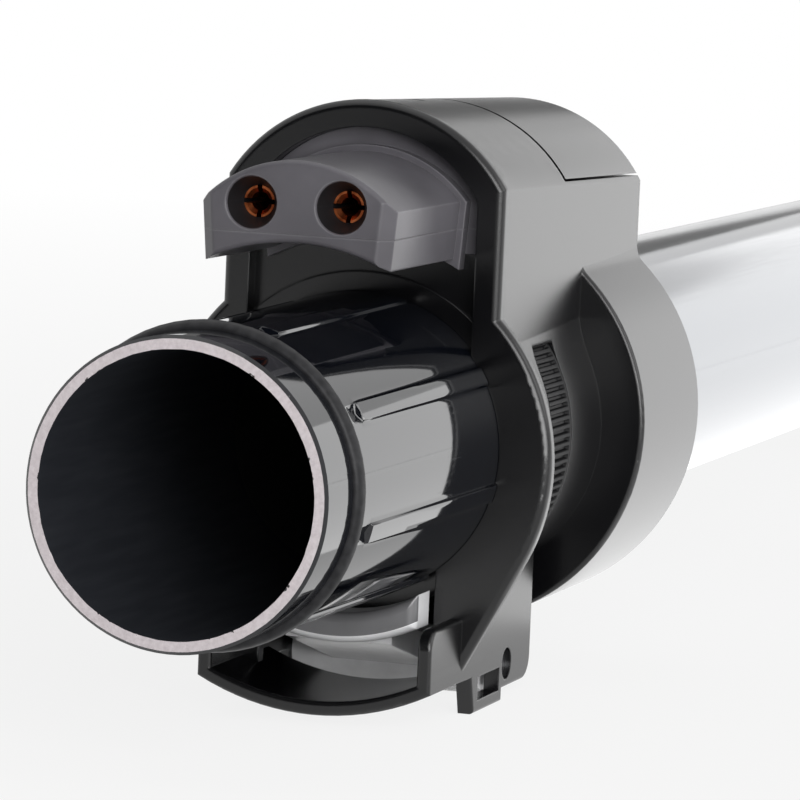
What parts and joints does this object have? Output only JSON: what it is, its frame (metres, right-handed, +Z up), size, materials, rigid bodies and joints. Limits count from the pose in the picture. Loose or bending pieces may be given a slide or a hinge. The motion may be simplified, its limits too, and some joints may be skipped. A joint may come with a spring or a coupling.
{
  "type": "vacuum extension tube",
  "caption": "Chromed steel vacuum extension tube with a ribbed black spigot, hooded contact block and latch lever at one end and a socket with plug pins at the other.",
  "frame": {"origin": "centre of the spigot's mouth, on the tube's axis", "axes": "+X along the tube from the spigot's mouth to the socket's mouth, +Z up through the hood"},
  "size_m": [0.5, 0.0544, 0.077],
  "materials": {
    "chrome_steel": "chromed steel tube",
    "gloss_black": "mirror-glossy moulded black",
    "seal_rubber": "matte rubber",
    "satin_black": "fine-grained satin black",
    "grey_plastic": "moulded mid grey",
    "copper": "bare copper",
    "lever_grey": "moulded grey, polished by use",
    "pin_steel": "bright steel",
    "wire_plastic": "soft insulation"
  },
  "bodies": {
    "tube": {"wand_tube": "chrome_steel", "spigot_sleeve": "gloss_black", "seal_ring": "seal_rubber", "end_housing": "satin_black", "hood_lid": "satin_black", "connector_upper": "grey_plastic", "connector_lower": "grey_plastic", "contact_left": "copper", "contact_right": "copper", "lock_ring": "satin_black", "latch_pin": "pin_steel", "latch_spring": "pin_steel", "wire_conduit": "wire_plastic", "wire_left": "wire_plastic", "wire_right": "wire_plastic", "socket_housing": "satin_black", "socket_lid": "satin_black", "plug_carrier": "grey_plastic", "plug_pin_left": "copper", "plug_pin_right": "copper"},
    "lever": {"release_lever": "lever_grey"}
  },
  "joints": [
    {"name": "latch_release", "type": "hinge", "parent": "tube", "child": "lever", "pos_m": [0.0855, 0, -0.0293], "axis": [0, -1, 0], "range_deg": [0, 8], "stiffness_Nm_per_rad": 0.1, "springref_deg": -22.92, "deforming": ["latch_spring"]}
  ]
}
